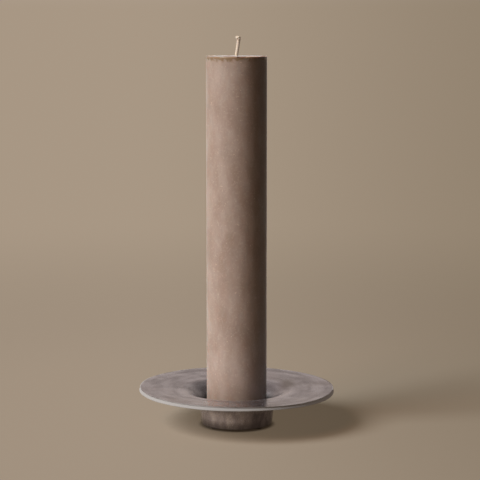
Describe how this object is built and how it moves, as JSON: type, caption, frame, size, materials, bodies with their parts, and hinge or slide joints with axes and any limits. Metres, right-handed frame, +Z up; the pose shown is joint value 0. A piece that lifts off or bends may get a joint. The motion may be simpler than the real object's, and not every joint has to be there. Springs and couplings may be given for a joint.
{
  "type": "pillar candle holder",
  "caption": "Wide, thin, slightly dished metal plate that curves like a trumpet into a central well on a short round foot, with a tall plain pillar candle standing in the well.",
  "frame": {"origin": "on the table plane, under the centre of the foot", "axes": "+Z up along the shared axis of foot, plate and candle; -Y is the front, which the picture is taken from; +X is to the right, where the wick leans"},
  "size_m": [0.195, 0.195, 0.3886],
  "materials": {
    "cast_aluminium": "satin",
    "felt": "matte",
    "stearin_wax": "satin",
    "cotton_wick": "matte"
  },
  "bodies": {
    "holder": {"plate_casting": "cast_aluminium", "felt_pad_1": "felt", "felt_pad_2": "felt", "felt_pad_3": "felt", "felt_pad_4": "felt"},
    "candle": {"candle_wax": "stearin_wax", "wick": "cotton_wick"}
  },
  "joints": [
    {"name": "candle_lift", "type": "slide", "parent": "holder", "child": "candle", "axis": [0, 0, 1], "range_m": [0, 0.06]}
  ]
}
